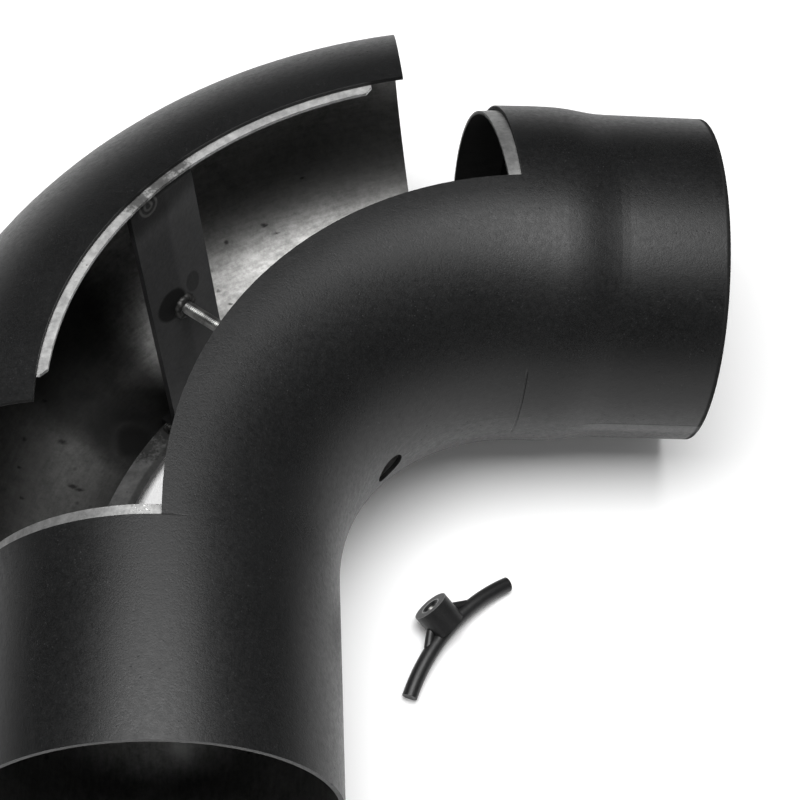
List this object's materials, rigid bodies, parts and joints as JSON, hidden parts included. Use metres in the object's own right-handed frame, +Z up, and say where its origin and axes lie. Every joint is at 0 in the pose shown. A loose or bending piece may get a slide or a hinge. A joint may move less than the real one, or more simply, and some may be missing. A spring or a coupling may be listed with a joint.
{
  "type": "stove pipe elbow with door",
  "caption": "Right-angle stove pipe elbow lying on its side, its curved inspection door lifted off and leaning outwards, and the screw handle laid beside it.",
  "frame": {"origin": "centre of the socket rim, on the pipe's centre line", "axes": "+Y from the rim along the socket leg, +X along the spigot leg to its open end, +Z up from the table"},
  "size_m": [0.3592, 0.3733, 0.1636],
  "materials": {
    "black_paint": "matt heat-proof paint, slightly speckled",
    "bare_strip": "bare mottled steel, scratched",
    "dark_steel": "dark mill scale, scorched beside the welds",
    "zinc_thread": "bright threaded rod",
    "weld_bead": "dull weld metal"
  },
  "bodies": {
    "elbow": {"elbow_body": "black_paint", "socket_end_strip": "bare_strip", "spigot_end_strip": "bare_strip", "handle_bow": "black_paint", "handle_boss": "black_paint", "handle_stub_left": "black_paint", "handle_stub_right": "black_paint"},
    "door": {"door_shell": "black_paint", "door_side_strip_upper": "bare_strip", "door_side_strip_lower": "bare_strip", "door_yoke": "dark_steel", "door_stud": "zinc_thread", "stud_weld": "weld_bead", "yoke_weld_upper": "weld_bead", "yoke_weld_lower": "weld_bead"}
  },
  "joints": [
    {"name": "door_draw", "type": "slide", "parent": "elbow", "child": "door", "axis": [-0.7314, 0.682, 0], "range_m": [-0.018, 0.1]}
  ]
}
